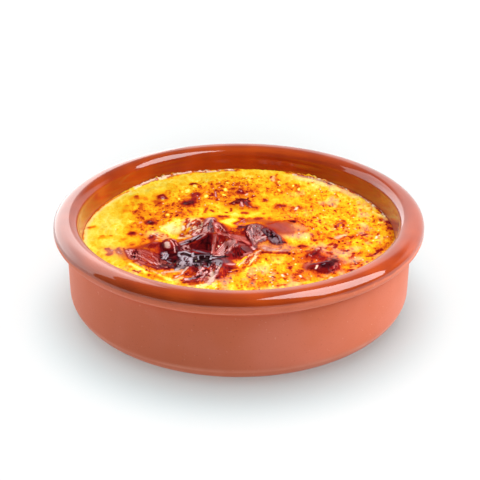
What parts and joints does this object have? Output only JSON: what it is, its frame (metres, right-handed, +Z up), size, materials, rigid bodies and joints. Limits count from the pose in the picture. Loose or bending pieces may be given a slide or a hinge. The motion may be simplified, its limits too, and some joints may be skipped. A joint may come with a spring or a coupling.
{
  "type": "crema catalana in a terracotta dish",
  "caption": "Crema catalana: set custard under a burnt-sugar crust drawn up into dark crags, in a shallow round terracotta dish with a rolled, glazed rim.",
  "frame": {"origin": "centre of the dish's base, on the surface it stands on", "axes": "+Z up; the crags' open side faces -Y and the boat-shaped blister lies towards +X"},
  "size_m": [0.13, 0.13, 0.035],
  "materials": {
    "glazed_terracotta": "glossy amber glaze inside and over the rim, bare matt clay below it and outside",
    "burnt_custard": "moist yellow custard with glossy red-brown caramel, charred black and ash grey on the crags"
  },
  "bodies": {
    "root": {"cazuela": "glazed_terracotta", "custard": "burnt_custard"}
  },
  "joints": []
}
